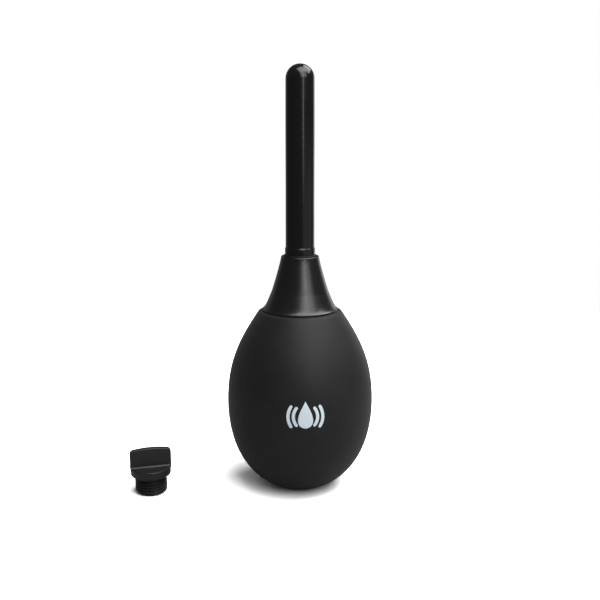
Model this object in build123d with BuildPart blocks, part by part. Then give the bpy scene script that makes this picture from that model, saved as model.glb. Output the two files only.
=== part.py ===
from build123d import *
import os

# Dust blower bulb: a soft round bulb with a flared collar, a long round-ended
# nozzle screwed into the collar, and a loose winged plug standing beside it.
# All lengths in millimetres, +Z up, origin at the centre of the bulb's foot,
# -Y is the front.

os.makedirs("parts", exist_ok=True)

# ---------------------------------------------------------------- dimensions
# bulb
BULB_R = 36.3            # widest radius
BULB_WIDE_Z = 43.7       # height of the widest point
FOOT_R = 12.0            # flat foot the bulb stands on
SHOULDER_R = 20.1        # bulb radius where the collar sits on it
SHOULDER_Z = 89.9        # top of the ledge under the collar's edge
LEDGE_R = 17.6           # inner edge of that ledge
WALL = 2.6               # rubber wall
NECK_R = 11.6            # outside of the neck inside the collar
NECK_BORE_R = 8.9        # inside of the neck
NECK_ROOT_Z = 94.6       # where the neck leaves the shoulder cone
NECK_TOP_Z = 100.6
NECK_LOW_Z = 91.4        # lower end of the neck bore

# collar
COLLAR_Z0 = 90.2         # lower edge
COLLAR_EDGE = 0.45       # height of the thin upright edge
COLLAR_R0 = 18.55        # radius of that edge
COLLAR_TOP_Z = 116.75
COLLAR_TOP_R = 9.3
COLLAR_CAVITY_R = 11.65  # room for the neck
COLLAR_STEP_Z = 100.9    # roof of that room
SOCKET_R = 9.3           # takes the boss of the neck insert
SOCKET_TOP_Z = 105.4
SEAL_SEAT_R = 8.2        # recess in the rim for the sealing ring
SEAL_SEAT_Z = 116.0
COLLAR_THREAD_Z = 106.35 # half a pitch out of step with the nozzle's ridge
COLLAR_TURNS = 5

# screw thread, M16 x 1.5, right-hand
PITCH = 1.5
RIDGE_ROOT = 0.2         # how far a male ridge is let into its stem
FEMALE_RIDGE_ROOT = 0.3  # how far the female ridge is let into the collar
MALE_CREST_R = 7.9
MALE_ROOT_R = 7.0
FEMALE_CREST_R = 7.2
FEMALE_ROOT_R = 8.08

# neck insert
INSERT_BORE_R = 6.4
INSERT_R = 8.85
INSERT_Z0 = 89.4
INSERT_TOP_Z = 105.3
BOSS_R = 9.25
BOSS_Z = 100.7
TAIL_BARB_R = 9.6
TAIL_BARB_Z = 91.0
BARB_R = 9.35
BARB_Z0 = 95.2
BARB_Z1 = 96.4

# sealing rings, one on the nozzle and one on the plug
SEAL_SECTION_R = 0.75
SEAL_R = 7.3             # radius to the middle of the section
GLAND_R = 6.5            # neck the ring is stretched over

# nozzle
NOZZLE_Z0 = 107.2
NOZZLE_THREAD_Z = 108.6  # middle of the ridge where it starts
NOZZLE_TURNS = 4
NOZZLE_SHOULDER_Z = 117.5
ROOT_RING_R = 7.35
ROOT_RING_TOP_Z = 120.7
BARREL_R0 = 7.05
BARREL_MID_R = 6.95      # parallel stretch, where a holder or a hose can grip
BARREL_MID_Z0 = 145.0
BARREL_MID_Z1 = 180.0
BARREL_R1 = 6.86
NOZZLE_TIP_Z = 207.7
NOZZLE_BORE_R = 5.0
OUTLET_R = 0.55
OUTLET_TILT = 32.0       # angle between an outlet and the nozzle's axis
OUTLET_COUNT = 4
OUTLET_START = -74.0     # direction of the first outlet about Z

# plug, standing on its threaded end
PLUG_X = -74.2
PLUG_Y = -14.0
PLUG_TURN = 15.0         # direction of the wing about Z
PLUG_FOOT_CHAMFER = 0.7
PLUG_THREAD_Z = 1.3
PLUG_TURNS = 4
DISC_R = 9.9
DISC_Z0 = 9.5
DISC_Z1 = 13.4
WING_W = 20.2
WING_T0 = 3.6            # thickness just above the disc
WING_T1 = 3.0            # thickness at the top
WING_TOP_Z = 22.6
WING_CORNER_R = 2.0
WING_FOOT_R = 1.1        # fillet between wing and disc

TIP_CENTRE_Z = NOZZLE_TIP_Z - BARREL_R1
SEAL_Z = SEAL_SEAT_Z + SEAL_SECTION_R
PLUG_SEAL_Z = DISC_Z0 - SEAL_SECTION_R


# ---------------------------------------------------------------------- bulb
# Hollow rubber shell: barrel-shaped body, ledge for the collar, and a neck
# with one groove for the insert's barb.
with BuildPart() as bulb:
    with BuildSketch(Plane.XZ):
        with BuildLine():
            Line((0, 0), (FOOT_R, 0))
            Bezier((FOOT_R, 0), (25.3, 4.8), (BULB_R, 18.8), (BULB_R, BULB_WIDE_Z))
            Bezier((BULB_R, BULB_WIDE_Z), (BULB_R, 63.5), (30.4, 74.8), (SHOULDER_R, SHOULDER_Z))
            Polyline(
                (SHOULDER_R, SHOULDER_Z),
                (LEDGE_R, SHOULDER_Z),
                (NECK_R, NECK_ROOT_Z),
                (NECK_R, NECK_TOP_Z),
                (NECK_BORE_R, NECK_TOP_Z),
                (NECK_BORE_R, BARB_Z1 + 0.05),
                (BARB_R + 0.05, BARB_Z1 + 0.05),
                (NECK_BORE_R, BARB_Z0 - 0.05),
                (NECK_BORE_R, NECK_LOW_Z),
                (NECK_BORE_R + 1.2, NECK_LOW_Z),
                (SHOULDER_R - WALL, SHOULDER_Z - WALL),
            )
            Bezier(
                (SHOULDER_R - WALL, SHOULDER_Z - WALL),
                (27.9, 73.7),
                (BULB_R - WALL, 62.6),
                (BULB_R - WALL, BULB_WIDE_Z),
            )
            Bezier(
                (BULB_R - WALL, BULB_WIDE_Z),
                (BULB_R - WALL, 19.9),
                (24.4, WALL + 4.8),
                (FOOT_R - 1.0, WALL),
            )
            Line((FOOT_R - 1.0, WALL), (0, WALL))
            Line((0, WALL), (0, 0))
        make_face()
    revolve(axis=Axis.Z)
bulb.part.label = "bulb"
export_step(bulb.part, "parts/bulb.step")


# --------------------------------------------------------------- neck insert
# Rigid barbed bush pushed into the neck; its boss is bonded in the collar.
with BuildPart() as neck_insert:
    with BuildSketch(Plane.XZ):
        with BuildLine():
            Polyline(
                (INSERT_BORE_R, INSERT_Z0),
                (INSERT_R - 0.75, INSERT_Z0),
                (TAIL_BARB_R, TAIL_BARB_Z),
                (INSERT_R, TAIL_BARB_Z),
                (INSERT_R, BARB_Z0),
                (BARB_R, BARB_Z1),
                (INSERT_R, BARB_Z1),
                (INSERT_R, BOSS_Z),
                (BOSS_R, BOSS_Z),
                (BOSS_R, INSERT_TOP_Z),
                (INSERT_BORE_R, INSERT_TOP_Z),
                (INSERT_BORE_R, INSERT_Z0),
            )
        make_face()
    revolve(axis=Axis.Z)
neck_insert.part.label = "neck_insert"
export_step(neck_insert.part, "parts/neck_insert.step")


# -------------------------------------------------------------------- collar
# Flared shell: waisted outside, room for the neck below, socket for the
# insert in the middle, female thread and seal recess at the top.
with BuildPart() as collar:
    with BuildSketch(Plane.XZ):
        with BuildLine():
            Line((COLLAR_R0, COLLAR_Z0), (COLLAR_R0, COLLAR_Z0 + COLLAR_EDGE))
            Bezier((COLLAR_R0, COLLAR_Z0 + COLLAR_EDGE), (16.7, 90.9), (14.95, 97.0), (14.15, 98.8))
            Bezier((14.15, 98.8), (13.6, 100.0), (9.95, 112.3), (COLLAR_TOP_R, COLLAR_TOP_Z - 0.5))
            Polyline(
                (COLLAR_TOP_R, COLLAR_TOP_Z - 0.5),
                (COLLAR_TOP_R - 0.3, COLLAR_TOP_Z),
                (SEAL_SEAT_R + 0.15, COLLAR_TOP_Z),
                (SEAL_SEAT_R, COLLAR_TOP_Z - 0.15),
                (SEAL_SEAT_R, SEAL_SEAT_Z),
                (FEMALE_ROOT_R, SEAL_SEAT_Z),
                (FEMALE_ROOT_R, SOCKET_TOP_Z),
                (SOCKET_R, SOCKET_TOP_Z),
                (SOCKET_R, COLLAR_STEP_Z),
                (COLLAR_CAVITY_R, COLLAR_STEP_Z),
                (COLLAR_CAVITY_R, NECK_ROOT_Z + 0.3),
                (LEDGE_R - 0.2, COLLAR_Z0 + 0.1),
                (LEDGE_R - 0.2, COLLAR_Z0),
                (COLLAR_R0, COLLAR_Z0),
            )
        make_face()
    revolve(axis=Axis.Z)
    # female thread: one ridge winding up the bore, half a pitch out of step
    # with the ridge on the nozzle
    with BuildLine() as collar_helix:
        Helix(
            pitch=PITCH,
            height=COLLAR_TURNS * PITCH,
            radius=FEMALE_ROOT_R,
            center=(0, 0, COLLAR_THREAD_Z),
        )
    with BuildSketch(Plane(origin=collar_helix.line @ 0, x_dir=(-1, 0, 0), z_dir=collar_helix.line % 0)):
        with BuildLine():
            Polyline(
                (-FEMALE_RIDGE_ROOT, -0.62),
                (0.0, -0.62),
                (FEMALE_ROOT_R - FEMALE_CREST_R, -0.1),
                (FEMALE_ROOT_R - FEMALE_CREST_R, 0.1),
                (0.0, 0.62),
                (-FEMALE_RIDGE_ROOT, 0.62),
                (-FEMALE_RIDGE_ROOT, -0.62),
            )
        make_face()
    sweep(path=collar_helix.line, is_frenet=True)
collar.part.label = "collar"
export_step(collar.part, "parts/collar.step")


# -------------------------------------------------------------------- nozzle
# Hollow barrel with a round end, a root ring that bears on the seal, a male
# thread, and a ring of small outlets in the round end.
with BuildPart() as nozzle:
    with BuildSketch(Plane.XZ):
        with BuildLine():
            Polyline(
                (NOZZLE_BORE_R, NOZZLE_Z0),
                (MALE_ROOT_R - 0.4, NOZZLE_Z0),
                (MALE_ROOT_R, NOZZLE_Z0 + 0.4),
                (MALE_ROOT_R, SEAL_SEAT_Z - 0.25),
                (GLAND_R, SEAL_SEAT_Z - 0.05),
                (GLAND_R, NOZZLE_SHOULDER_Z),
                (ROOT_RING_R, NOZZLE_SHOULDER_Z),
                (ROOT_RING_R, ROOT_RING_TOP_Z - 0.3),
            )
            Spline(
                (ROOT_RING_R, ROOT_RING_TOP_Z - 0.3),
                (BARREL_R0 + 0.1, ROOT_RING_TOP_Z),
                (BARREL_R0, ROOT_RING_TOP_Z + 0.5),
                tangents=[(0, 1), (0, 1)],
            )
            Polyline(
                (BARREL_R0, ROOT_RING_TOP_Z + 0.5),
                (BARREL_MID_R, BARREL_MID_Z0),
                (BARREL_MID_R, BARREL_MID_Z1),
                (BARREL_R1, TIP_CENTRE_Z),
            )
            RadiusArc((BARREL_R1, TIP_CENTRE_Z), (0, NOZZLE_TIP_Z), -BARREL_R1)
            Line((0, NOZZLE_TIP_Z), (0, TIP_CENTRE_Z + NOZZLE_BORE_R))
            RadiusArc((0, TIP_CENTRE_Z + NOZZLE_BORE_R), (NOZZLE_BORE_R, TIP_CENTRE_Z), NOZZLE_BORE_R)
            Line((NOZZLE_BORE_R, TIP_CENTRE_Z), (NOZZLE_BORE_R, NOZZLE_Z0))
        make_face()
    revolve(axis=Axis.Z)
    # outlets, square to the round end
    for i in range(OUTLET_COUNT):
        turn = OUTLET_START + i * 360.0 / OUTLET_COUNT
        outlet_plane = Plane(
            origin=(0, 0, TIP_CENTRE_Z),
            z_dir=Vector(0, 0, 1).rotate(Axis.Y, OUTLET_TILT).rotate(Axis.Z, turn),
        )
        with BuildSketch(outlet_plane.offset(NOZZLE_BORE_R - 1.0)):
            Circle(OUTLET_R)
        extrude(amount=4.0, mode=Mode.SUBTRACT)
    # male thread
    with BuildLine() as nozzle_helix:
        Helix(
            pitch=PITCH,
            height=NOZZLE_TURNS * PITCH,
            radius=MALE_ROOT_R,
            center=(0, 0, NOZZLE_THREAD_Z),
        )
    with BuildSketch(Plane(origin=nozzle_helix.line @ 0, x_dir=(1, 0, 0), z_dir=nozzle_helix.line % 0)):
        with BuildLine():
            Polyline(
                (-RIDGE_ROOT, -0.6),
                (0.0, -0.6),
                (MALE_CREST_R - MALE_ROOT_R, -0.12),
                (MALE_CREST_R - MALE_ROOT_R, 0.12),
                (0.0, 0.6),
                (-RIDGE_ROOT, 0.6),
                (-RIDGE_ROOT, -0.6),
            )
        make_face()
    sweep(path=nozzle_helix.line, is_frenet=True)
nozzle.part.label = "nozzle"
export_step(nozzle.part, "parts/nozzle.step")


# --------------------------------------------------------------- nozzle seal
with BuildPart() as nozzle_seal:
    with BuildSketch(Plane.XZ):
        with Locations((SEAL_R, SEAL_Z)):
            Circle(SEAL_SECTION_R)
    revolve(axis=Axis.Z)
nozzle_seal.part.label = "nozzle_seal"
export_step(nozzle_seal.part, "parts/nozzle_seal.step")


# ---------------------------------------------------------------------- plug
# Disc with an upright wing to turn it by, on a threaded stem.
plug_section = Plane(origin=(PLUG_X, PLUG_Y, 0), x_dir=(1, 0, 0), z_dir=(0, -1, 0))
plug_axis = Axis((PLUG_X, PLUG_Y, 0), (0, 0, 1))
along = Vector(1, 0, 0).rotate(Axis.Z, PLUG_TURN)
across = Vector(0, 1, 0).rotate(Axis.Z, PLUG_TURN)
wing_front = Plane(origin=(PLUG_X, PLUG_Y, 0), x_dir=along, z_dir=across * -1)
wing_end = Plane(origin=(PLUG_X, PLUG_Y, 0), x_dir=across, z_dir=along)

with BuildPart() as wing:
    with BuildSketch(wing_end):
        with BuildLine():
            Polyline(
                (WING_T0 / 2 + WING_FOOT_R, DISC_Z1 - 1.0),
                (WING_T0 / 2 + WING_FOOT_R, DISC_Z1),
            )
            RadiusArc(
                (WING_T0 / 2 + WING_FOOT_R, DISC_Z1),
                (WING_T0 / 2, DISC_Z1 + WING_FOOT_R),
                WING_FOOT_R,
            )
            Polyline(
                (WING_T0 / 2, DISC_Z1 + WING_FOOT_R),
                (WING_T1 / 2, WING_TOP_Z - 0.3),
                (WING_T1 / 2 - 0.3, WING_TOP_Z),
                (0.3 - WING_T1 / 2, WING_TOP_Z),
                (-WING_T1 / 2, WING_TOP_Z - 0.3),
                (-WING_T0 / 2, DISC_Z1 + WING_FOOT_R),
            )
            RadiusArc(
                (-WING_T0 / 2, DISC_Z1 + WING_FOOT_R),
                (-WING_T0 / 2 - WING_FOOT_R, DISC_Z1),
                WING_FOOT_R,
            )
            Polyline(
                (-WING_T0 / 2 - WING_FOOT_R, DISC_Z1),
                (-WING_T0 / 2 - WING_FOOT_R, DISC_Z1 - 1.0),
                (WING_T0 / 2 + WING_FOOT_R, DISC_Z1 - 1.0),
            )
        make_face()
    extrude(amount=WING_W / 2, both=True)
    wing_h = WING_TOP_Z - DISC_Z1 + 1.0
    with BuildSketch(wing_front) as wing_outline:
        with Locations((0, WING_TOP_Z - wing_h / 2)):
            Rectangle(WING_W, wing_h)
        fillet(wing_outline.vertices().group_by(Axis.Y)[-1], WING_CORNER_R)
    extrude(amount=WING_T0, both=True, mode=Mode.INTERSECT)

with BuildPart() as plug:
    with BuildSketch(plug_section):
        with BuildLine():
            Polyline(
                (0, 0),
                (MALE_ROOT_R - PLUG_FOOT_CHAMFER, 0),
                (MALE_ROOT_R, PLUG_FOOT_CHAMFER),
                (MALE_ROOT_R, DISC_Z0 - 2 * SEAL_SECTION_R - 0.25),
                (GLAND_R, DISC_Z0 - 2 * SEAL_SECTION_R - 0.05),
                (GLAND_R, DISC_Z0),
                (DISC_R - 0.4, DISC_Z0),
                (DISC_R, DISC_Z0 + 0.4),
                (DISC_R, DISC_Z1 - 0.5),
                (DISC_R - 0.5, DISC_Z1),
                (0, DISC_Z1),
                (0, 0),
            )
        make_face()
    revolve(axis=plug_axis)
    add(wing.part)
    # thread
    with BuildLine() as plug_helix:
        Helix(
            pitch=PITCH,
            height=PLUG_TURNS * PITCH,
            radius=MALE_ROOT_R,
            center=(PLUG_X, PLUG_Y, PLUG_THREAD_Z),
        )
    with BuildSketch(Plane(origin=plug_helix.line @ 0, x_dir=(1, 0, 0), z_dir=plug_helix.line % 0)):
        with BuildLine():
            Polyline(
                (-RIDGE_ROOT, -0.6),
                (0.0, -0.6),
                (MALE_CREST_R - MALE_ROOT_R, -0.12),
                (MALE_CREST_R - MALE_ROOT_R, 0.12),
                (0.0, 0.6),
                (-RIDGE_ROOT, 0.6),
                (-RIDGE_ROOT, -0.6),
            )
        make_face()
    sweep(path=plug_helix.line, is_frenet=True)
plug.part.label = "plug"
export_step(plug.part, "parts/plug.step")


# ----------------------------------------------------------------- plug seal
with BuildPart() as plug_seal:
    with BuildSketch(plug_section):
        with Locations((SEAL_R, PLUG_SEAL_Z)):
            Circle(SEAL_SECTION_R)
    revolve(axis=plug_axis)
plug_seal.part.label = "plug_seal"
export_step(plug_seal.part, "parts/plug_seal.step")
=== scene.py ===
"""Looks of a dust blower bulb: rubber bulb, flared collar, long nozzle and a loose winged plug.

Every size is in millimetres in the classes below and becomes metres when a mesh is made.
"""
import logging
import math
from dataclasses import dataclass, field
from enum import Enum
from typing import Callable, Iterable, Sequence

import bmesh
import bpy
from bpy.types import Material, Mesh, Node, NodeSocket, NodeTree, Object
from mathutils import Matrix, Vector
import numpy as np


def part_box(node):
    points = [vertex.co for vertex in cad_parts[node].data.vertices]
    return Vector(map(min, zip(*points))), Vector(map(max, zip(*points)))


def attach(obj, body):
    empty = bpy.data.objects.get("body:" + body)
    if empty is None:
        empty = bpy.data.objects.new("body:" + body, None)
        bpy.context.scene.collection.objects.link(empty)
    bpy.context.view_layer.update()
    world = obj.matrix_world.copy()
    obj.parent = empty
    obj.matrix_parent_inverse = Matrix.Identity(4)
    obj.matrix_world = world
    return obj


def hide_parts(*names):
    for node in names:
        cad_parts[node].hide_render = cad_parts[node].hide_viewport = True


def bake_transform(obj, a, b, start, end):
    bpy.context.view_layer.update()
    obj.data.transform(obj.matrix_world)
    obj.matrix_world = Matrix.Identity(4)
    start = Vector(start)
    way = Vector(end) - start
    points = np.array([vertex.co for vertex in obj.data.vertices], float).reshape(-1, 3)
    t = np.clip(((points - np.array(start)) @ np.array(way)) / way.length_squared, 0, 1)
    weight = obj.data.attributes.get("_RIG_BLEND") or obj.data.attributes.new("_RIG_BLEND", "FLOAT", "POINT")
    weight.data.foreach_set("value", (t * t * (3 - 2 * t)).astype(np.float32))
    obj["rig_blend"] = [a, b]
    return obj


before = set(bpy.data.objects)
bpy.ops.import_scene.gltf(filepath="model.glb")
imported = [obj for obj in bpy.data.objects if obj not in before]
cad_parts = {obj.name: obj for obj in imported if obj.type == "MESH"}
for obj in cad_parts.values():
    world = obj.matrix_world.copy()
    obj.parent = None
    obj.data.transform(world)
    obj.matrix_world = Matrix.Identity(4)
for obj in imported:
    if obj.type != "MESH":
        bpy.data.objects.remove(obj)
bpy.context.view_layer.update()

MM = 0.001
THREAD_STEP = 0.075
CORNER_STEPS = 5
CORNER_SHARE = 0.42
SUPPORT_SHARE = 0.35
log = logging.getLogger("blower")

Colour = tuple[float, float, float]
Point = tuple[float, float]
Row = tuple[float, float, float]
Plan = Callable[[float, float], Point]


# Node graphs.
@dataclass(frozen=True)
class Wire:
    """One output of a node in a graph, with arithmetic that adds Math nodes."""

    graph: "Graph"
    socket: NodeSocket

    def math(self, operation: str, *others: "Wire | float") -> "Wire":
        """Applies a Math node to this wire.

        Args:
            operation: the Math node's operation.
            others: the second and third operands, if the operation has them.

        Returns:
            The result.
        """
        return self.graph.math(operation, self, *others)

    def __add__(self, other: "Wire | float") -> "Wire":
        """Sum."""
        return self.graph.math("ADD", self, other)

    def __radd__(self, other: float) -> "Wire":
        """Sum, reflected."""
        return self.graph.math("ADD", other, self)

    def __sub__(self, other: "Wire | float") -> "Wire":
        """Difference."""
        return self.graph.math("SUBTRACT", self, other)

    def __rsub__(self, other: float) -> "Wire":
        """Difference, reflected."""
        return self.graph.math("SUBTRACT", other, self)

    def __mul__(self, other: "Wire | float") -> "Wire":
        """Product."""
        return self.graph.math("MULTIPLY", self, other)

    def __rmul__(self, other: float) -> "Wire":
        """Product, reflected."""
        return self.graph.math("MULTIPLY", other, self)

    def __truediv__(self, other: "Wire | float") -> "Wire":
        """Quotient."""
        return self.graph.math("DIVIDE", self, other)

    def __rtruediv__(self, other: float) -> "Wire":
        """Quotient, reflected."""
        return self.graph.math("DIVIDE", other, self)

    def clamped(self) -> "Wire":
        """The value kept between 0 and 1."""
        return self.graph.math("MINIMUM", self.graph.math("MAXIMUM", self, 0.0), 1.0)


@dataclass
class Graph:
    """A node tree, for a material, a world or a geometry modifier."""

    tree: NodeTree

    def node(
        self,
        kind: str,
        settings: dict[str, object] | None = None,
        inputs: dict[str | int, object] | None = None,
    ) -> Node:
        """Adds one node.

        Args:
            kind: the node's type name.
            settings: its properties, set before its sockets.
            inputs: values or wires for its input sockets, by name or place.

        Returns:
            The node.
        """
        made = self.tree.nodes.new(kind)
        for key, value in (settings or {}).items():
            setattr(made, key, value)
        for key, value in (inputs or {}).items():
            socket = made.inputs[key]
            if isinstance(value, Wire):
                self.tree.links.new(value.socket, socket)
            elif socket.type == "RGBA" and len(value) == 3:
                socket.default_value = (*value, 1.0)
            else:
                socket.default_value = value
        return made

    def wire(self, made: Node, output: str | int = 0) -> Wire:
        """One output of a node, as a wire."""
        return Wire(self, made.outputs[output])

    def math(self, operation: str, *operands: "Wire | float") -> Wire:
        """Adds a Math node.

        Args:
            operation: the node's operation.
            operands: wires or numbers.

        Returns:
            The result.
        """
        made = self.node("ShaderNodeMath", {"operation": operation}, dict(enumerate(operands)))
        return self.wire(made)

    def mix(self, factor: "Wire | float", first: "Wire | Colour", second: "Wire | Colour") -> Wire:
        """Mixes two colours.

        Args:
            factor: 0 gives the first colour, 1 the second.
            first: a colour.
            second: a colour.

        Returns:
            The mixed colour.
        """
        made = self.node("ShaderNodeMix", {"data_type": "RGBA"}, {0: factor, 6: first, 7: second})
        return self.wire(made, 2)

    def spread(self, vector: Wire, scale: Sequence[float]) -> Wire:
        """A vector with each part multiplied by its own number."""
        sides = {0: vector, 1: tuple(scale)}
        return self.wire(self.node("ShaderNodeVectorMath", {"operation": "MULTIPLY"}, sides))

    def noise(self, place: Wire, size: float, detail: float = 2.0, roughness: float = 0.5) -> Wire:
        """A noise pattern.

        Args:
            place: the coordinates it is read at, in metres.
            size: the size of its blotches, in millimetres.
            detail: how many finer octaves it has.
            roughness: how strong the finer octaves are.

        Returns:
            The pattern, from 0 to 1 around 0.5.
        """
        made = self.node(
            "ShaderNodeTexNoise",
            {"noise_dimensions": "3D"},
            {"Vector": place, "Scale": 1.0 / (size * MM), "Detail": detail, "Roughness": roughness},
        )
        return self.wire(made, 0)


class MaterialGraph(Graph):
    """The node tree of one material, with its shader already in place."""

    def __init__(self, name: str) -> None:
        """Makes the material.

        Args:
            name: the material's name.
        """
        self.material = bpy.data.materials.new(name)
        self.material.use_nodes = True
        super().__init__(self.material.node_tree)
        self.shader = self.tree.nodes["Principled BSDF"]

    def object_place(self) -> Wire:
        """Coordinates fixed to the piece, in metres."""
        return self.wire(self.node("ShaderNodeTexCoord"), "Object")

    def constants(self, **values: object) -> None:
        """Sets numbers and colours that are the same all over the surface.

        Args:
            values: socket names, with _ for a space, and their values.
        """
        for key, value in values.items():
            socket = self.shader.inputs[key.replace("_", " ")]
            socket.default_value = (*value, 1.0) if socket.type == "RGBA" else value

    def feed(self, socket: str, value: Wire) -> None:
        """Links a wire to one of the shader's sockets."""
        self.tree.links.new(value.socket, self.shader.inputs[socket])

    def bump(self, height: Wire, depth: float) -> None:
        """Feeds a height pattern to the shader's normal.

        Args:
            height: the pattern, from 0 to 1.
            depth: the height of the pattern's 1, in millimetres.
        """
        made = self.node("ShaderNodeBump", {}, {"Distance": depth * MM, "Height": height})
        self.feed("Normal", self.wire(made))


class GeometryGraph(Graph):
    """The node tree of a geometry modifier, with named inputs."""

    def __init__(self, name: str) -> None:
        """Makes the tree, with one geometry output.

        Args:
            name: the tree's name.
        """
        super().__init__(bpy.data.node_groups.new(name, "GeometryNodeTree"))
        self._socket("Geometry", "OUTPUT", "Geometry")
        self.identifiers: dict[str, str] = {}
        self.entry = self.tree.nodes.new("NodeGroupInput")

    def _socket(self, name: str, side: str, kind: str) -> str:
        """Adds a socket to the tree's own input or output, and gives its identifier."""
        sockets = self.tree.interface
        return sockets.new_socket(name, in_out=side, socket_type="NodeSocket" + kind).identifier

    def add_inputs(self, kinds: dict[str, str]) -> list[Wire]:
        """Adds named inputs.

        Args:
            kinds: what each input carries, by its name.

        Returns:
            The inputs, as wires, in the same order.
        """
        for name, kind in kinds.items():
            self.identifiers[name] = self._socket(name, "INPUT", kind)
        return [self.wire(self.entry, name) for name in kinds]

    def close(self, geometry: Wire, finish: Wire) -> None:
        """Ends the tree in real geometry with its material.

        Args:
            geometry: what the tree has made.
            finish: the material input.
        """
        real = self.wire(self.node("GeometryNodeRealizeInstances", {}, {"Geometry": geometry}))
        dressed = self.node("GeometryNodeSetMaterial", {}, {"Geometry": real, "Material": finish})
        leave = self.tree.nodes.new("NodeGroupOutput")
        self.tree.links.new(dressed.outputs[0], leave.inputs[0])

    def run(self, source: Object, values: dict[str, object]) -> Mesh:
        """Runs the tree on an object.

        Args:
            source: the object that the modifier is put on; it is removed afterwards.
            values: the inputs' values by name.

        Returns:
            The result as a plain mesh.
        """
        modifier = source.modifiers.new("recipe", "NODES")
        modifier.node_group = self.tree
        for name, value in values.items():
            modifier[self.identifiers[name]] = value
        return baked(source)


def baked(source: Object) -> Mesh:
    """An object's evaluated shape as a plain mesh; the object is removed."""
    bpy.context.view_layer.update()
    depsgraph = bpy.context.evaluated_depsgraph_get()
    mesh = bpy.data.meshes.new_from_object(source.evaluated_get(depsgraph), depsgraph=depsgraph)
    bpy.data.objects.remove(source)
    return mesh


def meshed(work: bmesh.types.BMesh, name: str, finish: Material) -> Mesh:
    """Turns an edit mesh into a mesh with one material; the edit mesh is freed."""
    mesh = bpy.data.meshes.new(name)
    work.to_mesh(mesh)
    work.free()
    mesh.materials.append(finish)
    return mesh


class Joint(Enum):
    """What a second solid does to a first."""

    ADDED = "UNION"
    CUT_AWAY = "DIFFERENCE"


def combined(first: Object, second: Object, joint: Joint) -> Mesh:
    """Adds one solid to another or cuts it away; both objects are removed.

    Args:
        first: the solid that stays.
        second: the solid that is added or cut away.
        joint: which of the two.

    Returns:
        The result as a plain mesh.
    """
    modifier = first.modifiers.new("combined", "BOOLEAN")
    modifier.operation = joint.value
    modifier.solver = "EXACT"
    modifier.object = second
    mesh = baked(first)
    bpy.data.objects.remove(second)
    return mesh


def stood(name: str, mesh: Mesh) -> Object:
    """Puts a mesh in the scene as an object at the origin."""
    made = bpy.data.objects.new(name, mesh)
    bpy.context.scene.collection.objects.link(made)
    return made


def tidied(
    mesh: Mesh, sharp: float = 75.0, shift: Sequence[float] = (0.0, 0.0, 0.0)
) -> Mesh:
    """Merges doubles, turns faces outwards and shades the mesh smooth.

    Args:
        mesh: the mesh, changed in place.
        sharp: edges that turn by more degrees than this stay sharp.
        shift: how far the mesh is moved, in metres.

    Returns:
        The same mesh.
    """
    work = bmesh.new()
    work.from_mesh(mesh)
    bmesh.ops.remove_doubles(work, verts=work.verts, dist=1e-6)
    bmesh.ops.dissolve_degenerate(work, edges=work.edges, dist=1e-7)
    bmesh.ops.recalc_face_normals(work, faces=work.faces)
    bmesh.ops.translate(work, verts=work.verts, vec=Vector(shift))
    work.to_mesh(mesh)
    work.free()
    mesh.shade_smooth()
    mesh.set_sharp_from_angle(angle=math.radians(sharp))
    return mesh


# Turned pieces.
class ThreadSide(Enum):
    """Which way a screw thread's ridge stands from its wall."""

    NONE = 0.0
    MALE = 1.0
    FEMALE = -1.0


@dataclass(frozen=True)
class Thread:
    """A right-hand screw thread's ridge."""

    side: ThreadSide = ThreadSide.NONE
    start: float = 0.0
    pitch: float = 1.5
    height: float = 0.9
    root_half: float = 0.6
    crest_half: float = 0.12


def on_curve(points: Sequence[Point], t: float) -> Point:
    """A point of a cubic curve.

    Args:
        points: the curve's start, its two handles and its end.
        t: share of the curve that lies before the point.

    Returns:
        The point.
    """
    u = 1.0 - t
    weights = (u**3, 3 * u * u * t, 3 * u * t * t, t**3)
    r, z = (sum(w * p[k] for w, p in zip(weights, points)) for k in (0, 1))
    return r, z


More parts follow.
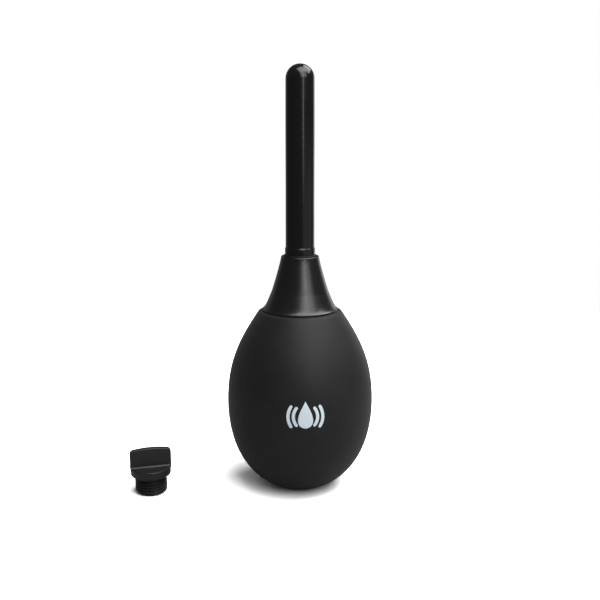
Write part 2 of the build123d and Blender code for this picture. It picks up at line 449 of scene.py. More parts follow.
@dataclass
class Outline:
    """Half outline of a turned piece, as radius and height, from end to end of its surface."""

    corners: list[tuple[float, float, float, float]] = field(default_factory=list)

    def to(self, radius: float, height: float, soft: float = 0.0) -> "Outline":
        """Goes straight to a corner.

        Args:
            radius: distance from the axis.
            height: height along the axis.
            soft: radius that the corner is rounded to.

        Returns:
            The outline itself.
        """
        self.corners.append((radius, height, soft, 0.0))
        return self

    def curve(self, *handles: Point, steps: int, until: float = 1.0) -> "Outline":
        """Follows a cubic curve from the last corner.

        Args:
            handles: the curve's two handles and its end.
            steps: how many straight steps it is made of.
            until: the share of the curve that is followed.

        Returns:
            The outline itself.
        """
        points = (self.corners[-1][:2], *handles)
        for i in range(1, steps + 1):
            self.corners.append((*on_curve(points, until * i / steps), 0.0, 0.0))
        return self

    def arc(
        self, centre: Point, radius: float, start: float, end: float, steps: int
    ) -> "Outline":
        """Follows part of a circle.

        Args:
            centre: the circle's centre.
            radius: its radius.
            start: angle of the first point, in degrees from the outward direction.
            end: angle of the last point.
            steps: how many straight steps it is made of.

        Returns:
            The outline itself.
        """
        for i in range(steps + 1):
            a = math.radians(start + (end - start) * i / steps)
            r = max(centre[0] + radius * math.cos(a), 0.0)
            self.corners.append((r, centre[1] + radius * math.sin(a), 0.0, 0.0))
        return self

    def threaded(self, radius: float, start: float, end: float, fade: float = 1.0) -> "Outline":
        """Goes straight along a wall that carries a thread.

        Args:
            radius: the wall's radius.
            start: height where the thread begins.
            end: height where it ends.
            fade: length over which it dies away at each end.

        Returns:
            The outline itself.
        """
        count = int(abs(end - start) / THREAD_STEP)
        for i in range(count + 1):
            z = start + (end - start) * i / count
            near = min(abs(z - start), abs(z - end))
            self.corners.append((radius, z, 0.0, min(near / fade, 1.0)))
        return self

    def rows(self) -> list[Row]:
        """The outline with its soft corners rounded, each with a supporting row beside it.

        Returns:
            Radius, height and share of thread of each row.
        """
        out: list[Row] = []
        last = len(self.corners) - 1
        for i, (r, z, soft, ridge) in enumerate(self.corners):
            if soft <= 0.0 or i in (0, last):
                out.append((r, z, ridge))
                continue
            here = Vector((r, z))
            back = Vector(self.corners[i - 1][:2]) - here
            on = Vector(self.corners[i + 1][:2]) - here
            half = back.angle(on) / 2
            longest = CORNER_SHARE * min(back.length, on.length)
            reach = min(soft / math.tan(half), longest)
            a = here + back.normalized() * reach
            b = here + on.normalized() * reach
            ease = SUPPORT_SHARE * reach
            before = a + back.normalized() * min(ease, 0.3 * (back.length - reach))
            after = b + on.normalized() * min(ease, 0.3 * (on.length - reach))
            out.append((before.x, before.y, 0.0))
            for k in range(CORNER_STEPS + 1):
                t = k / CORNER_STEPS
                p = a * (1 - t) ** 2 + here * (2 * t * (1 - t)) + b * t * t
                out.append((p.x, p.y, 0.0))
            out.append((after.x, after.y, 0.0))
        return out


class Lathe:
    """Turns outlines into closed surfaces, with a screw thread where the outline asks for one."""

    def __init__(self) -> None:
        """Builds the geometry tree once."""
        g = GeometryGraph("turned_piece")
        outline, segments, pitch, height, start, root_half, crest_half, finish = g.add_inputs(
            {
                "Outline": "Geometry",
                "Segments": "Int",
                "Pitch": "Float",
                "Ridge height": "Float",
                "Ridge start": "Float",
                "Ridge root half width": "Float",
                "Ridge crest half width": "Float",
                "Finish": "Material",
            }
        )
        size = g.node("GeometryNodeAttributeDomainSize", {}, {"Geometry": outline})
        count = g.wire(size, "Point Count")
        around = segments + 1.0
        grid = g.node("GeometryNodeMeshGrid", {}, {"Vertices X": count, "Vertices Y": around})
        index = g.wire(g.node("GeometryNodeInputIndex"))
        row = (index / around).math("FLOOR")
        turn = (index - row * around) / segments
        position = g.wire(g.node("GeometryNodeInputPosition"))
        point = self._sampled(g, outline, "FLOAT_VECTOR", position, row)
        ridge_of = {"data_type": "FLOAT"}, {"Name": "ridge"}
        stored = g.wire(g.node("GeometryNodeInputNamedAttribute", *ridge_of), "Attribute")
        share = self._sampled(g, outline, "FLOAT", stored, row)
        parts = g.node("ShaderNodeSeparateXYZ", {}, {0: point})
        radius, z = g.wire(parts, 0), g.wire(parts, 2)

        phase = (z - start) / pitch - turn
        off = (phase - phase.math("ROUND")).math("ABSOLUTE") * pitch
        ridge = ((root_half - off) / (root_half - crest_half)).clamped()
        reach = radius + ridge * share * height
        angle = turn * (2.0 * math.pi)
        around_axis = {0: reach * angle.math("COSINE"), 1: reach * angle.math("SINE"), 2: z}
        place = g.wire(g.node("ShaderNodeCombineXYZ", {}, around_axis))
        moved = {"Geometry": g.wire(grid), "Position": place}
        shaped = g.wire(g.node("GeometryNodeSetPosition", {}, moved))
        near = {"Geometry": shaped, "Distance": 1e-6}
        g.close(g.wire(g.node("GeometryNodeMergeByDistance", {}, near)), finish)
        self.graph = g

    @staticmethod
    def _sampled(g: GeometryGraph, source: Wire, kind: str, value: Wire, index: Wire) -> Wire:
        """A value read from one point of a geometry."""
        read = {"Geometry": source, "Value": value, "Index": index}
        return g.wire(g.node("GeometryNodeSampleIndex", {"data_type": kind}, read))

    def turn(
        self,
        outline: Outline,
        finish: Material,
        segments: int = 128,
        thread: Thread = Thread(),
        shift: Sequence[float] = (0.0, 0.0, 0.0),
    ) -> Mesh:
        """Turns one outline about Z.

        Args:
            outline: the outline, in millimetres.
            finish: the material.
            segments: how many steps the full turn has.
            thread: the thread that threaded walls carry.
            shift: where the axis stands, in metres.

        Returns:
            The closed mesh.
        """
        rows = outline.rows()
        blank = bpy.data.meshes.new("outline")
        edges = [(i, i + 1) for i in range(len(rows) - 1)]
        blank.from_pydata([(r * MM, 0.0, z * MM) for r, z, _ in rows], edges, [])
        ridge = blank.attributes.new("ridge", "FLOAT", "POINT")
        ridge.data.foreach_set("value", [share for _, _, share in rows])
        values = {
            "Segments": segments,
            "Pitch": thread.pitch * MM,
            "Ridge height": thread.side.value * thread.height * MM,
            "Ridge start": thread.start * MM,
            "Ridge root half width": thread.root_half * MM,
            "Ridge crest half width": thread.crest_half * MM,
            "Finish": finish,
        }
        return tidied(self.graph.run(stood("outline", blank), values), shift=shift)


# Finishes.
@dataclass(frozen=True)
class SoftRubber:
    """Matt rubber with a fine leathery grain and a faint mottle."""

    name: str
    colour: Colour = (0.0082, 0.0084, 0.0088)
    bloom: Colour = (0.0130, 0.0133, 0.0138)
    roughness: float = 0.56
    grain: float = 0.22
    grain_depth: float = 0.012
    specular: float = 0.32
    sheen: float = 0.04

    def made(self) -> Material:
        """Builds the material.

        Returns:
            The material.
        """
        g = MaterialGraph(self.name)
        place = g.object_place()
        mottle = g.noise(place, 9.0, 3.0)
        fine = g.noise(place, self.grain, 3.0, 0.6)
        pores = g.node(
            "ShaderNodeTexVoronoi",
            {"feature": "SMOOTH_F1"},
            {"Vector": place, "Scale": 1.0 / (self.grain * 2.2 * MM), "Smoothness": 0.6},
        )
        cells = g.wire(pores, "Distance")
        bloom = ((mottle - 0.38) * 2.2).clamped() * 0.75 + (fine - 0.5) * 0.35
        g.feed("Base Color", g.mix(bloom.clamped(), self.colour, self.bloom))
        rough = self.roughness + (mottle - 0.5) * 0.10 + (fine - 0.5) * 0.08
        g.feed("Roughness", rough.clamped())
        g.bump(cells * 0.6 + fine * 0.4, self.grain_depth)
        g.constants(
            Specular_IOR_Level=self.specular,
            Sheen_Weight=self.sheen,
            Sheen_Roughness=0.5,
        )
        return g.material


@dataclass(frozen=True)
class MouldedPlastic:
    """Hard black plastic from a mould: flow lines along Z, smudges and a very fine texture."""

    name: str
    colour: Colour = (0.006, 0.006, 0.0065)
    lift: Colour = (0.011, 0.011, 0.012)
    roughness: float = 0.26
    smudge: float = 0.08
    texture: float = 0.10
    texture_depth: float = 0.0015
    specular: float = 0.5
    scratches: float = 0.04

    def made(self) -> Material:
        """Builds the material.

        Returns:
            The material.
        """
        g = MaterialGraph(self.name)
        place = g.object_place()
        hand = g.noise(place, 14.0, 2.0)
        fine = g.noise(place, self.texture, 2.0, 0.6)
        flow = g.noise(g.spread(place, (1.0, 1.0, 0.06)), 1.6, 3.0, 0.55)
        hair = g.noise(g.spread(place, (1.0, 0.18, 1.0)), 0.30, 1.0)
        scuff = ((hair - 0.66) * 9.0).clamped() * ((hand - 0.45) * 4.0).clamped()
        streaks = (flow * 0.8 + (fine - 0.5) * 0.4).clamped()
        g.feed("Base Color", g.mix(streaks, self.colour, self.lift))
        rough = self.roughness + (hand - 0.5) * self.smudge * 2.0
        rough = rough + (flow - 0.5) * 0.05 + scuff * self.scratches
        g.feed("Roughness", rough.clamped())
        g.bump(fine * 0.7 + flow * 0.3, self.texture_depth)
        g.constants(Specular_IOR_Level=self.specular)
        return g.material


@dataclass(frozen=True)
class PrintedInk:
    """Pale pad-printed ink with a slightly uneven film."""

    name: str
    colour: Colour = (0.80, 0.90, 0.98)
    thin: Colour = (0.68, 0.78, 0.86)
    roughness: float = 0.5

    def made(self) -> Material:
        """Builds the material.

        Returns:
            The material.
        """
        g = MaterialGraph(self.name)
        place = g.object_place()
        film = g.noise(place, 2.5, 3.0)
        dots = g.noise(place, 0.18, 2.0, 0.6)
        bare = (film * 0.6 + dots * 0.4 - 0.2).clamped()
        g.feed("Base Color", g.mix(bare, self.colour, self.thin))
        g.feed("Roughness", (self.roughness + (dots - 0.5) * 0.15).clamped())
        g.bump(dots, 0.004)
        g.constants(Specular_IOR_Level=0.4)
        return g.material


@dataclass(frozen=True)
class StudioFloor:
    """Pale matt table, white to look at and grey as a bounce, that fades into the surround; its seen colour
    carries a painted contact shadow round the bulb's foot.
    """

    name: str = "studio_floor"
    bounce: Colour = (0.34, 0.34, 0.34)
    seen: Colour = (2.5, 2.5, 2.5)
    solid: float = 0.26
    gone: float = 0.50
    # The next three set the painted contact shadow: full within foot of the axis, gone at clear (both in
    # metres), and its darkness as a share of the seen colour.
    foot: float = 0.013
    clear: float = 0.034
    painted_shadow_share: float = 0.30

    def made(self) -> Material:
        """Builds the material.

        Returns:
            The material.
        """
        g = MaterialGraph(self.name)
        place = g.object_place()
        looked_at = g.wire(g.node("ShaderNodeLightPath"), "Is Camera Ray")
        grain = g.noise(place, 1.2, 2.0)
        pale = g.mix(grain * 0.5, self.seen, tuple(c * 0.985 for c in self.seen))
        away = g.wire(g.node("ShaderNodeVectorMath", {"operation": "LENGTH"}, {0: place}), "Value")
        # Painted contact shadow: the seen colour darkens towards the bulb's foot.
        near = ((self.clear - away) / (self.clear - self.foot)).clamped()
        painted_shadow = tuple(c * self.painted_shadow_share for c in self.seen)
        g.feed("Base Color", g.mix(looked_at, self.bounce, g.mix(near * near, pale, painted_shadow)))
        g.feed("Alpha", ((self.gone - away) / (self.gone - self.solid)).clamped())
        g.constants(Roughness=0.9, Specular_IOR_Level=0.0)
        return g.material


# Pieces.
def centre_of(node: str) -> Vector:
    """The middle of a CAD node's box, in metres."""
    low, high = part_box(node)
    return (low + high) / 2


@dataclass
class Bulb:
    """Hollow rubber bulb: flat foot, egg-shaped wall, ledge, and the neck inside the collar."""

    radius: float = 36.3
    wide_at: float = 43.7
    foot: float = 12.0
    shoulder: float = 20.1
    shoulder_at: float = 89.9
    wall: float = 2.6
    ledge: float = 17.6
    neck: float = 11.6
    neck_from: float = 94.6
    neck_top: float = 100.6
    bore: float = 8.9
    groove: float = 9.4
    groove_foot: float = 95.15
    groove_top: float = 96.45
    mouth: float = 10.1
    mouth_at: float = 91.4
    finish: SoftRubber = SoftRubber("bulb_rubber_soft")

    def _lower(self) -> tuple[Point, ...]:
        """Handles and end of the outside curve below the widest point."""
        return (25.3, 4.8), (self.radius, 18.8), (self.radius, self.wide_at)

    def _upper(self) -> tuple[Point, ...]:
        """Handles and end of the outside curve above the widest point."""
        return (self.radius, 63.5), (30.4, 74.8), (self.shoulder, self.shoulder_at)

    def outline(self) -> Outline:
        """The bulb's closed half outline, outside first."""
        inner = self.radius - self.wall
        o = Outline()
        o.to(0.0, 0.0).to(self.foot * 0.5, 0.0).to(self.foot, 0.0, 0.8)
        o.curve(*self._lower(), steps=48).curve(*self._upper(), steps=48, until=0.965)
        o.to(self.shoulder + 0.35, self.shoulder_at - 0.6, 0.9)
        o.to(self.ledge + 1.1, self.shoulder_at - 0.1, 0.6).to(self.ledge, self.shoulder_at, 0.1)
        o.to(self.neck, self.neck_from, 0.3).to(self.neck, self.neck_top, 0.3)
        o.to(self.bore, self.neck_top, 0.3).to(self.bore, self.groove_top, 0.05)
        o.to(self.groove, self.groove_top, 0.05).to(self.bore, self.groove_foot, 0.05)
        o.to(self.bore, self.mouth_at, 0.2).to(self.mouth, self.mouth_at, 0.2)
        o.to(self.shoulder - self.wall, self.shoulder_at - self.wall)
        o.curve((27.9, 73.7), (inner, 62.6), (inner, self.wide_at), steps=32)
        o.curve((inner, 19.9), (24.4, 7.4), (self.foot - 1.0, self.wall), steps=32)
        o.to(0.0, self.wall)
        return o

    def build(self, lathe: Lathe) -> Object:
        """Makes the bulb.

        Args:
            lathe: turns the outline.

        Returns:
            The bulb.
        """
        return stood("bulb_shell", lathe.turn(self.outline(), self.finish.made(), segments=192))

    def dress(self, made: Object) -> None:
        """Ties the bulb to the frame: its foot stays, its neck follows the collar."""
        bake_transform(made, "bulb", "neck", start=(0, 0, 0.004), end=(0, 0, 0.089))
        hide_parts("bulb")

    def surface(self, azimuth: float, height: float, proud: float) -> Vector:
        """A point on the bulb's outside.

        Args:
            azimuth: angle from the front towards +X, in radians.
            height: height, in millimetres, near the widest point.
            proud: how far the point stands out of the surface, in millimetres.

        Returns:
            The point, in metres.
        """
        low, high = 0.0, 1.0
        if height < self.wide_at:
            points = ((self.foot, 0.0), *self._lower())
        else:
            points = ((self.radius, self.wide_at), *self._upper())
        for _ in range(40):
            middle = (low + high) / 2
            if on_curve(points, middle)[1] < height:
                low = middle
            else:
                high = middle
        r = on_curve(points, low)[0] + proud
        return Vector((math.sin(azimuth) * r, -math.cos(azimuth) * r, height)) * MM


@dataclass
class PrintedMark:
    """Plain print on the bulb's front: a drop between two pairs of squeeze strokes."""

    azimuth: float = 4.1
    height: float = 47.4
    drop_height: float = 13.0
    drop_width: float = 7.6
    drop_taper: float = 1.35
    stroke: float = 1.5
    stroke_bends: tuple[Point, ...] = ((6.7, 44.0), (9.2, 36.0))
    stroke_inset: float = 1.0
    stroke_sink: float = 0.9
    proud: float = 0.035
    sunk: float = 0.03
    finish: PrintedInk = PrintedInk("print_ink")

    def _patch(self, work: bmesh.types.BMesh, bulb: Bulb, plan: Plan, m: int, n: int) -> None:
        """Adds one patch of print as a thin closed solid.

        Args:
            work: the mesh it is added to.
            bulb: the bulb it lies on.
            plan: a point of the patch, in millimetres right and up, from two shares of 0 to 1.
            m: steps along the first share.
            n: steps along the second share.
        """
        layers = []
        for proud in (self.proud, -self.sunk):
            sheet = []
            for i in range(m + 1):
                line = []
                for j in range(n + 1):
                    right, up = plan(i / m, j / n)
                    azimuth = math.radians(self.azimuth) + right / bulb.radius
                    line.append(work.verts.new(bulb.surface(azimuth, self.height + up, proud)))
                sheet.append(line)
            layers.append(sheet)
        top, under = layers
        for i in range(m):
            for j in range(n):
                for sheet in layers:
                    here, there = sheet[i], sheet[i + 1]
                    work.faces.new((here[j], there[j], there[j + 1], here[j + 1]))
        rim = [(i, 0) for i in range(m)] + [(m, j) for j in range(n)]
        rim += [(i, n) for i in range(m, 0, -1)] + [(0, j) for j in range(n, 0, -1)]
        for (i, j), (k, l) in zip(rim, rim[1:] + rim[:1]):
            work.faces.new((top[i][j], top[k][l], under[k][l], under[i][j]))

    def _drop(self, s: float, t: float) -> Point:
        """Plan of the drop: s goes from its foot to its tip, t from left to right."""
        angle = math.pi * (1.0 - s)
        up = math.cos(angle)
        half = math.sin(angle) * math.sin(angle / 2.0) ** self.drop_taper
        return (2 * t - 1) * half * self.drop_width / 1.55, up * self.drop_height / 2

    def _stroke(self, side: float, radius: float, half: float) -> Plan:
        """Plan of a curved stroke.

        Args:
            side: 1 for the right, -1 for the left.
            radius: the stroke's middle radius.
            half: half the angle that it spans, in degrees.

        Returns:
            The plan.
        """

        def plan(s: float, t: float) -> Point:
            """Place of one point of the stroke."""
            angle = math.radians((2 * s - 1) * half)
            edge = math.sqrt(max(1.0 - (2 * s - 1) ** 16, 0.0))
            r = radius + (t - 0.5) * self.stroke * (0.35 + 0.65 * edge)
            right = side * (r * math.cos(angle) - self.stroke_inset)
            return right, r * math.sin(angle) - self.stroke_sink

        return plan

    def build(self, bulb: Bulb) -> Object:
        """Makes the print.

        Args:
            bulb: the bulb it lies on.

        Returns:
            The print.
        """
        work = bmesh.new()
        self._patch(work, bulb, self._drop, 36, 12)
        for side in (-1.0, 1.0):
            for bend in self.stroke_bends:
                self._patch(work, bulb, self._stroke(side, *bend), 24, 3)
        mesh = meshed(work, "printed_mark", self.finish.made())
        return stood("printed_mark", tidied(mesh, 50.0))

    def dress(self, made: Object) -> None:
        """Makes the print bend with the bulb."""
        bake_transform(made, "bulb", "neck", start=(0, 0, 0.004), end=(0, 0, 0.089))


@dataclass
class Collar:
    """Flared shell with a thin upright edge below, a waist, and a threaded mouth above."""

    foot: float = 90.2
    edge: float = 0.45
    foot_radius: float = 18.55
    top: float = 116.75
    top_radius: float = 9.3
    inside: float = 17.4
    cavity: float = 11.65
    socket: float = 9.3
    bore: float = 8.08
    seat: float = 8.2
    seat_at: float = 116.0
    thread_top: float = 115.6
    thread_foot: float = 105.7
    socket_top: float = 105.4
    socket_foot: float = 100.9
    cavity_foot: float = 94.9
    finish: MouldedPlastic = MouldedPlastic(
        "collar_satin",
        colour=(0.0038, 0.0038, 0.0041),
        lift=(0.0072, 0.0072, 0.0078),
        roughness=0.30,
        specular=0.66,
    )
    thread: Thread = Thread(ThreadSide.FEMALE, 106.35, height=0.88, root_half=0.62, crest_half=0.1)

    def outline(self) -> Outline:
        """The collar's closed half outline, outside first."""
        o = Outline()
        o.to(self.foot_radius - 0.5, self.foot).to(self.foot_radius, self.foot, 0.12)
        o.to(self.foot_radius, self.foot + self.edge, 0.14)
        o.to(self.foot_radius - 0.3, self.foot + self.edge + 0.22)
        o.curve((16.9, 91.75), (14.98, 97.0), (14.15, 98.8), steps=18)
        o.curve((13.6, 100.0), (9.95, 112.3), (self.top_radius, self.top - 0.6), steps=30)
        o.arc((self.top_radius - 0.45, self.top - 0.45), 0.45, 0.0, 90.0, 8)
        o.to(self.seat + 0.15, self.top, 0.06).to(self.seat, self.top - 0.15, 0.05)
        o.to(self.seat, self.seat_at, 0.05).to(self.bore, self.seat_at, 0.05)
        o.threaded(self.bore, self.thread_top, self.thread_foot)
        o.to(self.bore, self.socket_top, 0.05).to(self.socket, self.socket_top, 0.1)
        o.to(self.socket, self.socket_foot, 0.1).to(self.cavity, self.socket_foot, 0.15)
        o.to(self.cavity, self.cavity_foot, 0.3).to(self.inside, self.foot + 0.1, 0.1)
        o.to(self.inside, self.foot, 0.05).to(self.foot_radius - 0.5, self.foot)
        return o

    def build(self, lathe: Lathe) -> Object:
        """Makes the collar.

        Args:
            lathe: turns the outline.

        Returns:
            The collar.
        """
        mesh = lathe.turn(self.outline(), self.finish.made(), 144, self.thread)
        return stood("collar_shell", mesh)

    def dress(self, made: Object) -> None:
        """Ties the collar to the frame."""
        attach(made, "neck")
        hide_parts("collar")


@dataclass
class OutletPins:
    """The pins that leave the nozzle's small outlets."""

    count: int = 4
    sides: int = 40
    radius: float = 0.55
    length: float = 4.0
    tilt: float = 32.0
    first: float = -74.0

    @staticmethod
    def _raised(g: GeometryGraph, geometry: Wire, rise: Wire) -> Wire:
        """A geometry moved up by a distance."""
        way = g.wire(g.node("ShaderNodeCombineXYZ", {}, {2: rise}))
        moved = {"Geometry": geometry, "Translation": way}
        return g.wire(g.node("GeometryNodeTransform", {}, moved))

    def build(self, centre: float, reach: float, finish: Material) -> Object:
        """Makes the pins, standing through the nozzle's round end.

        Args:
            centre: height of the round end's centre, in millimetres.
            reach: distance from that centre to the middle of a pin.
            finish: the material that the holes' walls get.

        Returns:
            The pins, for cutting with.
        """
        g = GeometryGraph("outlet_pins")
        _, count, radius, length, distance, height, tilt, first, material = g.add_inputs(
            {
                "Blank": "Geometry",
                "Count": "Int",
                "Radius": "Float",
                "Length": "Float",
                "Distance": "Float",
                "Height": "Float",
                "Tilt": "Float",
                "First direction": "Float",
                "Finish": "Material",
            }
        )
        sizes = {"Vertices": self.sides, "Radius": radius, "Depth": length}
        pin = g.wire(g.node("GeometryNodeMeshCylinder", {}, sizes))
        spots = g.wire(g.node("GeometryNodePoints", {}, {"Count": count}))
        turn = first + g.wire(g.node("GeometryNodeInputIndex")) * (2.0 * math.pi) / count
        way = g.wire(g.node("ShaderNodeCombineXYZ", {}, {1: tilt, 2: turn}))
        sown = {"Points": spots, "Instance": self._raised(g, pin, distance), "Rotation": way}
        ring = g.wire(g.node("GeometryNodeInstanceOnPoints", {}, sown))
        g.close(self._raised(g, ring, height), material)
        values = {
            "Count": self.count,
            "Radius": self.radius * MM,
            "Length": self.length * MM,
            "Distance": reach * MM,
            "Height": centre * MM,
            "Tilt": math.radians(self.tilt),
            "First direction": math.radians(self.first),
            "Finish": finish,
        }
        mesh = g.run(stood("blank", bpy.data.meshes.new("blank")), values)
        return stood("outlet_pins", mesh)


@dataclass
class Nozzle:
    """Long hollow barrel with a round end, a root ring and a screwed root."""

    foot: float = 107.2
    shoulder: float = 117.5
    ring: float = 7.35
    ring_top: float = 120.7
    barrel_foot: float = 7.02
    barrel_middle: float = 6.95
    barrel_top: float = 6.86
    tip: float = 207.7
    bore: float = 5.0
    stem: float = 7.0
    thread_top: float = 115.7
    gland: float = 6.5
    gland_foot: float = 115.95
    straight_from: float = 145.0
    straight_to: float = 180.0
    finish: MouldedPlastic = MouldedPlastic(
        "nozzle_gloss",
        colour=(0.0045, 0.0045, 0.005),
        lift=(0.008, 0.008, 0.009),
        roughness=0.19,
        smudge=0.05,
        texture_depth=0.0008,
    )
    thread: Thread = Thread(ThreadSide.MALE, 108.6)
    outlets: OutletPins = field(default_factory=OutletPins)

    def outline(self) -> Outline:
        """Half outline, from the inside of the round end down, and up to its outside."""
        centre = self.tip - self.barrel_top
        o = Outline()
        o.arc((0.0, centre), self.bore, 90.0, 0.0, 16)
        o.to(self.bore, self.foot, 0.15).to(self.stem - 0.4, self.foot, 0.1)
        o.to(self.stem, self.foot + 0.4, 0.1)
        o.threaded(self.stem, self.foot + 0.5, self.thread_top, fade=0.8)
        o.to(self.gland, self.gland_foot, 0.05).to(self.gland, self.shoulder, 0.08)
        o.to(self.ring, self.shoulder, 0.15).to(self.ring, self.ring_top - 0.2, 0.12)
        o.to(self.barrel_foot, self.ring_top + 0.4, 0.15)
        o.to(self.barrel_middle, self.straight_from).to(self.barrel_middle, self.straight_to)
        o.arc((0.0, centre), self.barrel_top, 0.0, 90.0, 36)
        return o

    def build(self, lathe: Lathe) -> Object:
        """Makes the nozzle with its outlets.

        Args:
            lathe: turns the outline.

        Returns:
            The nozzle.
        """
        finish = self.finish.made()
        barrel = stood("barrel", lathe.turn(self.outline(), finish, 144, self.thread))
        centre = self.tip - self.barrel_top
        pins = self.outlets.build(centre, (self.bore + self.barrel_top) / 2, finish)
        return stood("nozzle_barrel", tidied(combined(barrel, pins, Joint.CUT_AWAY), 50.0))

    def dress(self, made: Object) -> None:
        """Ties the nozzle to the frame."""
        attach(made, "nozzle")
        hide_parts("nozzle")


@dataclass
class Plug:
    """Screw plug: threaded stem, disc, and an upright wing to turn it by."""

    stem: float = 7.0
    stem_lead: float = 0.7
    thread_foot: float = 0.8
    thread_top: float = 7.72
    gland: float = 6.5
    gland_foot: float = 7.95
    disc: float = 9.9
    disc_foot: float = 9.5
    disc_top: float = 13.4
    wing_width: float = 20.2
    wing_foot: float = 3.6
    wing_tip: float = 3.0
    wing_top: float = 22.6
    wing_corner: float = 1.6
    wing_fillet: float = 0.8
    wing_edge: float = 0.35
    wing_crown: float = 1.0
    wing_lift: float = 0.3
    turn: float = 15.0
    finish: MouldedPlastic = MouldedPlastic(
        "plug_satin",
        colour=(0.0068, 0.0068, 0.0066),
        lift=(0.012, 0.012, 0.0117),
        roughness=0.36,
        texture=0.16,
        texture_depth=0.004,
    )
    thread: Thread = Thread(ThreadSide.MALE, 1.3)

    def outline(self) -> Outline:
        """Half outline of the stem and the disc."""
        o = Outline()
        o.to(0.0, 0.0).to(self.stem - self.stem_lead, 0.0, 0.2).to(self.stem, self.stem_lead, 0.2)
        o.threaded(self.stem, self.thread_foot, self.thread_top, fade=0.7)
        o.to(self.gland, self.gland_foot, 0.05).to(self.gland, self.disc_foot, 0.08)
        o.to(self.disc - 0.1, self.disc_foot, 0.45).to(self.disc, self.disc_foot + 1.2, 0.3)
        o.to(self.disc, self.disc_top, 0.5).to(self.disc * 0.4, self.disc_top)
        o.to(0.0, self.disc_top)
        return o

    def _wing(self, finish: Material, place: Vector) -> Object:
        """The wing alone, as level slices joined into one closed solid.

        Args:
            finish: the material.
            place: where the plug's axis meets the floor, in metres.

        Returns:
            The wing.
        """
        foot, fillet = self.disc_top, self.wing_fillet
        levels = [foot - 0.8, foot - 0.01]
        levels += [foot + fillet * (1 - math.cos(i * math.pi / 16)) for i in range(1, 9)]
        bend = self.wing_top - self.wing_corner
        levels += [foot + fillet + 0.3, bend - 0.4]
        levels += [bend + self.wing_corner * math.sin(i * math.pi / 40) for i in range(0, 21)]
        rings = []
        work = bmesh.new()
        for z in levels:
            rise = (z - foot) / (self.wing_top - foot)
            thick = (self.wing_foot + (self.wing_tip - self.wing_foot) * max(rise, 0.0)) / 2
            thick += self._rounding(fillet, max(fillet - max(z - foot, 0.0), 0.0))
            length = self.wing_width / 2 - self._rounding(self.wing_corner, max(z - bend, 0.0))
            near = max(self.wing_edge - (self.wing_top - z), 0.0)
            thick -= self._rounding(self.wing_edge, near)
            rings.append([work.verts.new(p) for p in self._slice(length, thick, z, place)])
        for low_ring, high_ring in zip(rings, rings[1:]):
            for k in range(len(low_ring)):
                m = (k + 1) % len(low_ring)
                work.faces.new((low_ring[k], low_ring[m], high_ring[m], high_ring[k]))
        caps = [work.faces.new(rings[0]), work.faces.new(rings[-1])]
        bmesh.ops.triangulate(work, faces=caps, ngon_method="BEAUTY")
        return stood("wing", tidied(meshed(work, "wing", finish), 60.0))

    @staticmethod
    def _rounding(radius: float, along: float) -> float:
        """How far a rounded edge of a radius falls back at a distance along its side."""
        return radius - math.sqrt(max(radius**2 - along**2, 0.0))

    def _slice(self, length: float, thick: float, z: float, place: Vector) -> Iterable[Vector]:
        """One level slice of the wing, with rounded corners.

        Args:
            length: half its length.
            thick: half its thickness.
            z: its height.
            place: where the plug's axis meets the floor, in metres.

        Returns:
            Its points, in metres, in order round the slice.
        """
        edge = min(self.wing_edge, thick * 0.6)
        points = []
        for quarter in range(4):
            sx = (1, -1, -1, 1)[quarter]
            sy = (1, 1, -1, -1)[quarter]
            for i in range(7):
                a = math.radians(90 * quarter + 15 * i)
                x, y = sx * (length - edge), sy * (thick - edge)
                points.append((x + edge * math.cos(a), y + edge * math.sin(a)))
            if quarter in (0, 2):
                side = (0.92 - 0.184 * i for i in range(11))
                points += [(sx * (length - edge) * share, sy * thick) for share in side]
        c, s = math.cos(math.radians(self.turn)), math.sin(math.radians(self.turn))
        rise = max(z - self.disc_top, 0.0) / (self.wing_top - self.disc_top)
        half = self.wing_width / 2
        made = []
        for x, y in points:
            arch = rise * (self.wing_lift - self.wing_crown * (x / half) ** 2)
            made.append(Vector((x * c - y * s, x * s + y * c, z + arch)) * MM + place)
        return made

    def build(self, lathe: Lathe) -> Object:
        """Makes the plug.

        Args:
            lathe: turns the stem and the disc.

        Returns:
            The plug.
        """
        finish = self.finish.made()
        axis = centre_of("plug_seal")
        place = Vector((axis.x, axis.y, 0.0))
        body = stood("plug_body", lathe.turn(self.outline(), finish, 128, self.thread, place))
        wing = self._wing(finish, place)
        return stood("screw_plug", tidied(combined(body, wing, Joint.ADDED), 50.0))

    def dress(self, made: Object) -> None:
        """Ties the plug to the frame."""
        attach(made, "plug")
        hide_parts("plug")


@dataclass
class HiddenFittings:
    """The sealing rings and the neck insert, carried over as they are."""

    seal: SoftRubber = SoftRubber(
        "seal_rubber_black",
        colour=(0.006, 0.006, 0.006),
        bloom=(0.010, 0.010, 0.010),
        roughness=0.66,
        grain=0.12,
        grain_depth=0.003,
        specular=0.22,
        sheen=0.0,
    )
    insert: MouldedPlastic = MouldedPlastic(
        "insert_plain",
        colour=(0.02, 0.02, 0.021),
        lift=(0.035, 0.035, 0.036),
        roughness=0.45,
        texture=0.2,
    )

    def dress(self) -> None:
        """Gives the carried-over pieces their finishes."""
        rubber, plastic = self.seal.made(), self.insert.made()
        finishes = {"nozzle_seal": rubber, "plug_seal": rubber, "neck_insert": plastic}
        for node, finish in finishes.items():
            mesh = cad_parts[node].data
            for i in range(len(mesh.materials)):
                mesh.materials[i] = finish
            log.info("finish %s on %s", finish.name, node)


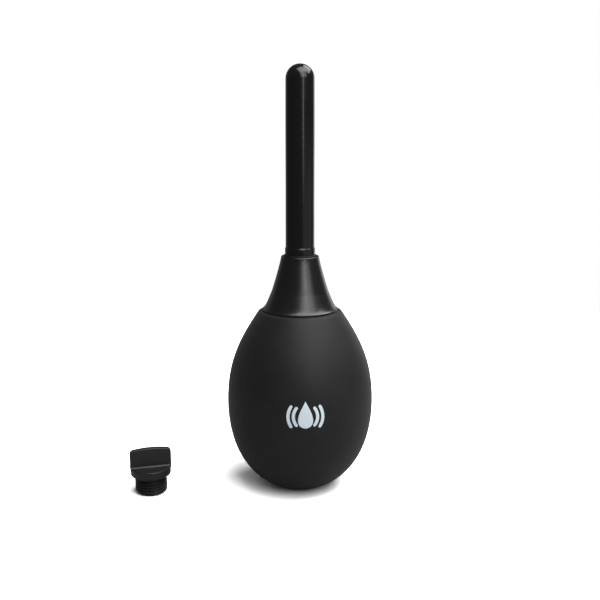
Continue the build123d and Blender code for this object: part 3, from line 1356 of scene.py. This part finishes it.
# Studio.
@dataclass(frozen=True)
class SoftBox:
    """A rectangular studio light that looks at a point."""

    name: str
    azimuth: float
    elevation: float
    distance: float
    width: float
    height: float
    radiance: float
    aim: tuple[float, float, float] = (0.0, 0.0, 0.08)

    def build(self) -> Object:
        """Makes the light. Azimuth 0 is in front and 90 on the right.

        Returns:
            The light.
        """
        lamp = bpy.data.lights.new(self.name, "AREA")
        lamp.shape = "RECTANGLE"
        lamp.size = self.width
        lamp.size_y = self.height
        lamp.energy = math.pi * self.width * self.height * self.radiance
        a, e = math.radians(self.azimuth), math.radians(self.elevation)
        way = Vector((math.sin(a) * math.cos(e), -math.cos(a) * math.cos(e), math.sin(e)))
        made = bpy.data.objects.new(self.name, lamp)
        made.location = Vector(self.aim) + way * self.distance
        made.rotation_euler = way.to_track_quat("Z", "Y").to_euler()
        made.visible_camera = False
        bpy.context.scene.collection.objects.link(made)
        return made


@dataclass
class Studio:
    """Pale table, soft lights and the camera."""

    boxes: tuple[SoftBox, ...] = (
        SoftBox("key_box", 31.0, 38.0, 0.90, 0.70, 0.70, 2.45),
        SoftBox("key_strip", 26.0, 30.0, 0.88, 0.12, 0.95, 2.6),
        SoftBox("side_box", 112.0, 54.0, 0.90, 0.90, 0.50, 4.4),
        SoftBox("side_low", 64.0, -8.0, 0.90, 1.30, 0.35, 0.28),
        SoftBox("top_box", 28.0, 74.0, 0.90, 0.64, 0.56, 4.3),
        SoftBox("rear_right", 148.0, 0.0, 0.90, 0.45, 0.55, 1.0),
        SoftBox("rear_left", 206.0, 2.0, 0.90, 0.90, 0.80, 0.16),
    )
    surround: float = 0.10
    camera_at: tuple[float, float, float] = (0.0, -0.42005, 0.18000)
    camera_pitch: float = 11.49
    focal_share: float = 867.24 / 600.0

    def build_table(self) -> None:
        """Makes the table."""
        work = bmesh.new()
        bmesh.ops.create_circle(work, cap_ends=True, segments=96, radius=0.6)
        mesh = meshed(work, "table", StudioFloor().made())
        mesh.transform(Matrix.Translation((0, 0, -0.00005)))
        stood("table_top", mesh)

    def build_world(self) -> None:
        """Makes the surround: white to look at, dim as a light."""
        world = bpy.data.worlds.new("surround")
        world.use_nodes = True
        bpy.context.scene.world = world
        g = Graph(world.node_tree)
        seen = g.wire(g.node("ShaderNodeLightPath"), "Is Camera Ray")
        strength = seen * (1.0 - self.surround) + self.surround
        back = world.node_tree.nodes["Background"]
        back.inputs["Color"].default_value = (1.0, 1.0, 1.0, 1.0)
        world.node_tree.links.new(strength.socket, back.inputs["Strength"])

    def build_camera(self) -> None:
        """Makes the camera."""
        lens = bpy.data.cameras.new("camera")
        lens.sensor_width = 36.0
        lens.lens = 36.0 * self.focal_share
        lens.clip_start, lens.clip_end = 0.01, 20.0
        made = bpy.data.objects.new("camera", lens)
        made.location = self.camera_at
        made.rotation_euler = (math.radians(90.0 - self.camera_pitch), 0.0, 0.0)
        bpy.context.scene.collection.objects.link(made)
        bpy.context.scene.camera = made

    def build(self) -> None:
        """Makes the whole studio."""
        self.build_table()
        self.build_world()
        for box in self.boxes:
            box.build()
        self.build_camera()
        scene = bpy.context.scene
        scene.view_settings.view_transform = "Standard"
        scene.view_settings.look = "None"


def report(made: Object) -> None:
    """Works out one finished piece's triangles."""
    mesh = made.data
    mesh.calc_loop_triangles()


def main() -> None:
    """Builds every piece, dresses it and sets up the studio."""
    lathe = Lathe()
    bulb = Bulb()
    shell = bulb.build(lathe)
    bulb.dress(shell)
    report(shell)
    mark = PrintedMark()
    print_made = mark.build(bulb)
    mark.dress(print_made)
    report(print_made)
    for maker in (Collar(), Nozzle(), Plug()):
        made = maker.build(lathe)
        maker.dress(made)
        report(made)
    HiddenFittings().dress()
    Studio().build()


if __name__ == "__main__":
    logging.basicConfig(level=logging.INFO, format="%(name)s %(message)s")
    main()
